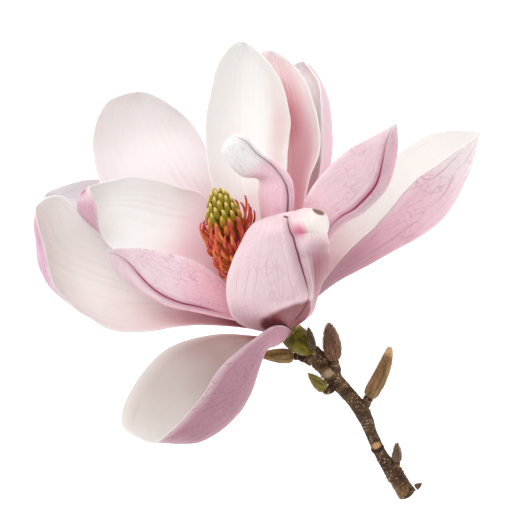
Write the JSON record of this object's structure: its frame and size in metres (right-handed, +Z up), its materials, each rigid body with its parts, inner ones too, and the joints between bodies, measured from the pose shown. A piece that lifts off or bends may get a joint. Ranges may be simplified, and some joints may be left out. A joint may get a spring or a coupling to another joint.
{
  "type": "magnolia flower",
  "caption": "Open saucer-type magnolia flower lying on its side, with boat-shaped tepals, stamens and a cone of carpels, on a short budded twig.",
  "frame": {"origin": "under the middle of the flower's box, on the surface that it lies on", "axes": "+Z up from the surface; +Y up the flower as the picture shows it, from the twig's cut end to the top tepal; +X to the picture's right"},
  "size_m": [0.1426, 0.1498, 0.0734],
  "materials": {
    "tepal_upper_left": "satin",
    "tepal_top": "satin",
    "tepal_top_right": "satin",
    "tepal_back_right": "satin",
    "tepal_mid_left": "satin",
    "tepal_left_back": "satin",
    "tepal_left_outer": "satin",
    "tepal_left_inner": "satin",
    "tepal_bottom": "satin",
    "tepal_right_outer": "satin",
    "tepal_right_inner": "satin",
    "tepal_front": "satin",
    "tepal_centre_inner": "satin",
    "receptacle": "matte",
    "stamens": "satin",
    "gynoecium": "satin",
    "peduncle": "satin",
    "twig": "matte",
    "bud_furry": "furry",
    "bud_long": "matte",
    "bud_green": "matte",
    "bud_low": "matte",
    "bud_top": "matte",
    "bud_left": "matte",
    "bud_end": "matte"
  },
  "bodies": {
    "root": {"tepal_upper_left": "tepal_upper_left", "tepal_top": "tepal_top", "tepal_top_right": "tepal_top_right", "tepal_back_right": "tepal_back_right", "tepal_mid_left": "tepal_mid_left", "tepal_left_back": "tepal_left_back", "tepal_left_outer": "tepal_left_outer", "tepal_left_inner": "tepal_left_inner", "tepal_bottom": "tepal_bottom", "tepal_right_outer": "tepal_right_outer", "tepal_right_inner": "tepal_right_inner", "tepal_front": "tepal_front", "tepal_centre_inner": "tepal_centre_inner", "receptacle": "receptacle", "stamens": "stamens", "gynoecium": "gynoecium", "peduncle": "peduncle", "twig": "twig", "bud_furry": "bud_furry", "bud_long": "bud_long", "bud_green": "bud_green", "bud_low": "bud_low", "bud_top": "bud_top", "bud_left": "bud_left", "bud_end": "bud_end"}
  },
  "joints": []
}
